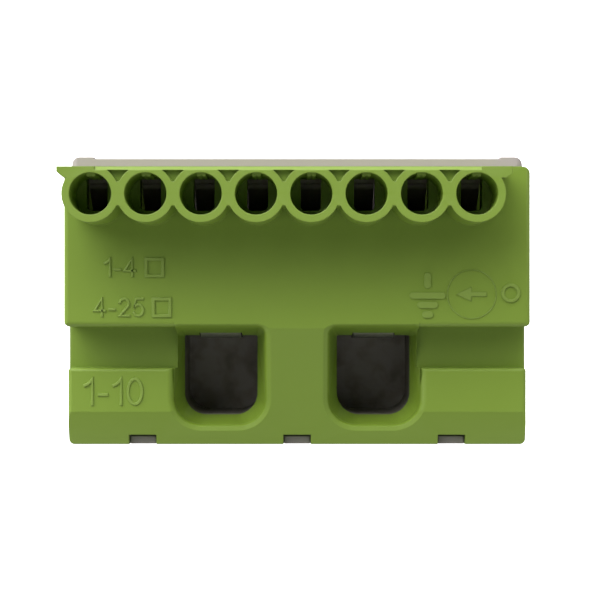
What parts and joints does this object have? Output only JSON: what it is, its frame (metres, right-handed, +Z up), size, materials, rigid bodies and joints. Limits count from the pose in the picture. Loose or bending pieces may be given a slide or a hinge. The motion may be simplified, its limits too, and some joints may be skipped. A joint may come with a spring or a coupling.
{
  "type": "earth terminal bar",
  "caption": "Green earth terminal block with a row of push-in tubes over a pair of large screw-clamp entries, on one busbar.",
  "frame": {"origin": "middle of the bounding box's underside, on the surface the block stands on", "axes": "+X along the row of entries, to the right when looking into them; +Y from the entries to the back; +Z up from the foot to the cover"},
  "size_m": [0.0614, 0.033, 0.0383],
  "materials": {
    "green_plastic": "moulded yellow-green plastic, slightly satin",
    "grey_plastic": "moulded light grey plastic",
    "tinned_copper": null,
    "sheet_steel": "stamped stainless sheet",
    "spring_steel": "stainless spring strip",
    "zinc_plated_steel": "zinc-plated steel"
  },
  "bodies": {
    "block": {"housing": "green_plastic", "top_cover": "grey_plastic", "base_plate": "grey_plastic", "busbar": "tinned_copper", "contact_frame_1": "sheet_steel", "contact_frame_2": "sheet_steel", "contact_frame_3": "sheet_steel", "contact_frame_4": "sheet_steel", "contact_frame_5": "sheet_steel", "contact_frame_6": "sheet_steel", "contact_frame_7": "sheet_steel", "contact_frame_8": "sheet_steel", "leaf_spring_1": "spring_steel", "leaf_spring_2": "spring_steel", "leaf_spring_3": "spring_steel", "leaf_spring_4": "spring_steel", "leaf_spring_5": "spring_steel", "leaf_spring_6": "spring_steel", "leaf_spring_7": "spring_steel", "leaf_spring_8": "spring_steel"},
    "screw_left": {"clamp_screw_left": "zinc_plated_steel"},
    "cage_left": {"clamp_cage_left": "zinc_plated_steel"},
    "screw_right": {"clamp_screw_right": "zinc_plated_steel"},
    "cage_right": {"clamp_cage_right": "zinc_plated_steel"}
  },
  "joints": [
    {"name": "screw_turn_left", "type": "hinge", "parent": "block", "child": "screw_left", "pos_m": [-0.0104, 0.00795, 0.02], "axis": [0, 0, -1], "range_deg": [0, 3240]},
    {"name": "cage_lift_left", "type": "slide", "parent": "block", "child": "cage_left", "axis": [0, 0, 1], "range_m": [0, 0.009]},
    {"name": "screw_turn_right", "type": "hinge", "parent": "block", "child": "screw_right", "pos_m": [0.0104, 0.00795, 0.02], "axis": [0, 0, -1], "range_deg": [0, 3240]},
    {"name": "cage_lift_right", "type": "slide", "parent": "block", "child": "cage_right", "axis": [0, 0, 1], "range_m": [0, 0.009]}
  ],
  "couplings": [
    {"joint": "screw_turn_left", "follows": "cage_lift_left", "rad_per_m": 6283.2},
    {"joint": "screw_turn_right", "follows": "cage_lift_right", "rad_per_m": 6283.2}
  ]
}
